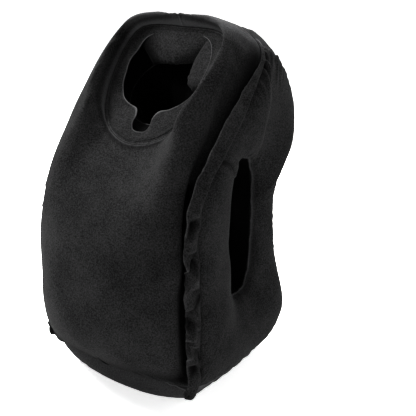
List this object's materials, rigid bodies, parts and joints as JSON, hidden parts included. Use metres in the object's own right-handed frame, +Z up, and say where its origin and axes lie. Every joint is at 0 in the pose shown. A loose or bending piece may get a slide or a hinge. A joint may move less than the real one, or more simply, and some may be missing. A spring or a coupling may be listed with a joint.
{
  "type": "inflatable forward-lean camp pillow",
  "caption": "Inflatable flocked pillow for leaning forward on, with a sloping face opening, an arm tunnel from side to side and an air valve low on the back.",
  "frame": {"origin": "on the surface it stands on, in the left-right middle, at the marked point of the flat base", "axes": "+Z up, the front with the face opening toward -Y, +X to the right of a person who looks at the front"},
  "size_m": [0.3042, 0.3539, 0.5282],
  "materials": {
    "flocked_sheet": "black flocked sheet, matt and velvety",
    "plain_sheet": "black plain sheet without flock",
    "valve_plastic": "dark grey soft moulded plastic",
    "valve_rubber": "grey thin rubber"
  },
  "bodies": {
    "pillow": {"front_panel": "flocked_sheet", "face_flange": "flocked_sheet", "face_weld": "flocked_sheet", "face_sleeve": "flocked_sheet", "face_duct": "flocked_sheet", "divider_panel": "plain_sheet", "seam_flange_left": "flocked_sheet", "seam_flange_right": "flocked_sheet", "seam_flange_top": "flocked_sheet", "seam_flange_bottom": "flocked_sheet", "left_side_panel": "flocked_sheet", "right_side_panel": "flocked_sheet", "back_panel": "flocked_sheet", "back_seam_left": "flocked_sheet", "back_seam_right": "flocked_sheet", "tunnel_sleeve": "flocked_sheet", "arm_weld_left": "flocked_sheet", "arm_weld_right": "flocked_sheet", "belly_web_left": "plain_sheet", "belly_web_right": "plain_sheet", "front_web_left": "plain_sheet", "front_web_right": "plain_sheet", "back_web_left": "plain_sheet", "back_web_right": "plain_sheet", "base_web_left": "plain_sheet", "base_web_right": "plain_sheet", "lobe_web_left": "plain_sheet", "lobe_web_right": "plain_sheet", "front_bulkhead": "plain_sheet", "valve_base": "valve_plastic"},
    "plug": {"valve_plug": "valve_plastic"},
    "cap": {"valve_cap": "valve_plastic"},
    "flap": {"check_flap": "valve_rubber"}
  },
  "joints": [
    {"name": "plug_hinge", "type": "hinge", "parent": "pillow", "child": "plug", "pos_m": [0, 0.15801, 0.15351], "axis": [-1, 0, 0], "range_deg": [0, 110]},
    {"name": "cap_hinge", "type": "hinge", "parent": "plug", "child": "cap", "pos_m": [0, 0.15837, 0.16129], "axis": [-1, 0, 0], "range_deg": [0, 100]},
    {"name": "flap_hinge", "type": "hinge", "parent": "plug", "child": "flap", "pos_m": [0, 0.15192, 0.16279], "axis": [1, 0, 0], "range_deg": [0, 30]}
  ]
}
